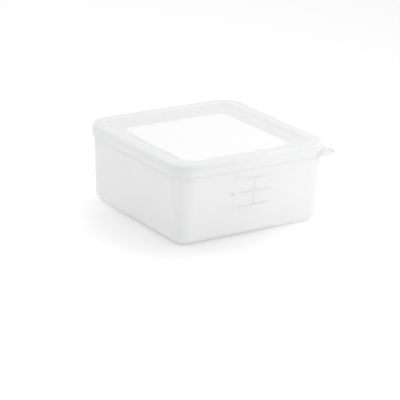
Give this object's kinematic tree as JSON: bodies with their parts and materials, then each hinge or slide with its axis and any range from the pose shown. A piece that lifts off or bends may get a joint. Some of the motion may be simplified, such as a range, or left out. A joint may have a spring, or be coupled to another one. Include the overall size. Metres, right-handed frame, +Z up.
{
  "type": "freezer container",
  "caption": "Square food storage tub with tapered walls and a moulded measuring scale, closed by a press-on lid with a sunken panel and a corner pull tab.",
  "frame": {"origin": "centre of the tub's flat base, on the surface that it stands on", "axes": "+Z up, -Y towards the side with the measuring scale, the pull tab on the corner between +X and -Y"},
  "size_m": [0.1651, 0.1651, 0.0743],
  "materials": {
    "tub_plastic": "milky, lightly frosted",
    "lid_plastic": "milky, smooth with a soft sheen"
  },
  "bodies": {
    "tub": {"tub": "tub_plastic"},
    "lid": {"lid": "lid_plastic"}
  },
  "joints": [
    {"name": "lid_lift", "type": "slide", "parent": "tub", "child": "lid", "axis": [0, 0, 1], "range_m": [0, 0.09]}
  ]
}
